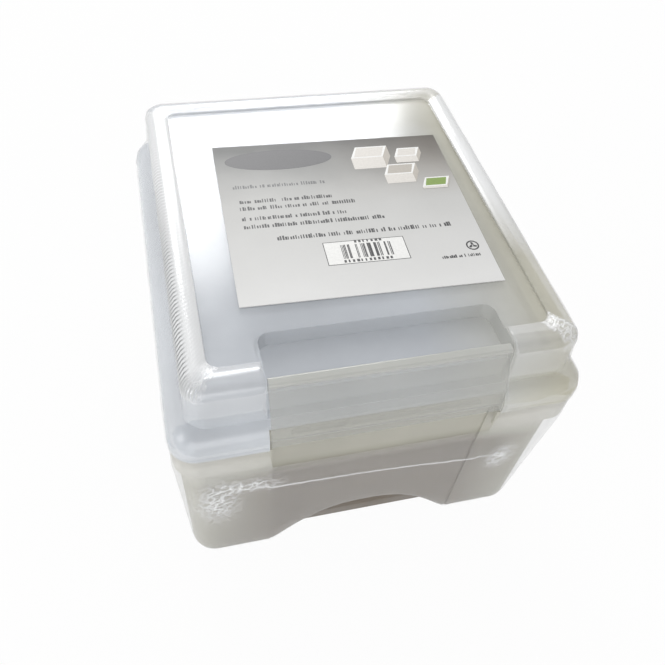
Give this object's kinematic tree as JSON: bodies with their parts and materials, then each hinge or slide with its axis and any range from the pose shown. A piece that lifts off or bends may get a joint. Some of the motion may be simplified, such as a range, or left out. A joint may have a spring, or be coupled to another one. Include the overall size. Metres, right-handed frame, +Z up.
{
  "type": "photo keeper case",
  "caption": "Hinged milky box with a clear lid, front rocker latch, finger pocket and arched foot recess, holding a row of slim lidded photo cases.",
  "frame": {"origin": "centre of the footprint, on the surface the box stands on", "axes": "+Z up, -Y towards the latch, +Y towards the hinge, +X to the right seen from the latch"},
  "size_m": [0.185, 0.21, 0.14],
  "materials": {
    "milky_plastic": "milky translucent polypropylene, softly glossy",
    "clear_plastic": "clear glossy plastic with a faint cool cast",
    "latch_plastic": "clear to milky glossy plastic",
    "card": "coated card, grey at the back fading to off-white at the front",
    "frosted_tray": "frosted translucent plastic",
    "frosted_cover": "frosted translucent plastic"
  },
  "bodies": {
    "box": {"box": "milky_plastic"},
    "lid": {"lid": "clear_plastic", "packing_card": "card"},
    "latch": {"front_latch": "latch_plastic"},
    "case_1": {"photo_tray_1": "frosted_tray", "photo_cover_1": "frosted_cover"},
    "case_2": {"photo_tray_2": "frosted_tray", "photo_cover_2": "frosted_cover"},
    "case_3": {"photo_tray_3": "frosted_tray", "photo_cover_3": "frosted_cover"},
    "case_4": {"photo_tray_4": "frosted_tray", "photo_cover_4": "frosted_cover"},
    "case_5": {"photo_tray_5": "frosted_tray", "photo_cover_5": "frosted_cover"},
    "case_6": {"photo_tray_6": "frosted_tray", "photo_cover_6": "frosted_cover"}
  },
  "joints": [
    {"name": "lid_hinge", "type": "hinge", "parent": "box", "child": "lid", "pos_m": [0, 0.1025, 0.101], "axis": [-1, 0, 0], "range_deg": [0, 105]},
    {"name": "latch_pivot", "type": "hinge", "parent": "lid", "child": "latch", "pos_m": [0, -0.0951, 0.1336], "axis": [-1, 0, 0], "range_deg": [-2.2, 50]},
    {"name": "case_1_lift", "type": "slide", "parent": "box", "child": "case_1", "axis": [0, 0, 1], "range_m": [0, 0.0007]},
    {"name": "case_2_lift", "type": "slide", "parent": "box", "child": "case_2", "axis": [0, 0, 1], "range_m": [0, 0.0007]},
    {"name": "case_3_lift", "type": "slide", "parent": "box", "child": "case_3", "axis": [0, 0, 1], "range_m": [0, 0.0007]},
    {"name": "case_4_lift", "type": "slide", "parent": "box", "child": "case_4", "axis": [0, 0, 1], "range_m": [0, 0.0007]},
    {"name": "case_5_lift", "type": "slide", "parent": "box", "child": "case_5", "axis": [0, 0, 1], "range_m": [0, 0.0007]},
    {"name": "case_6_lift", "type": "slide", "parent": "box", "child": "case_6", "axis": [0, 0, 1], "range_m": [0, 0.0007]}
  ]
}
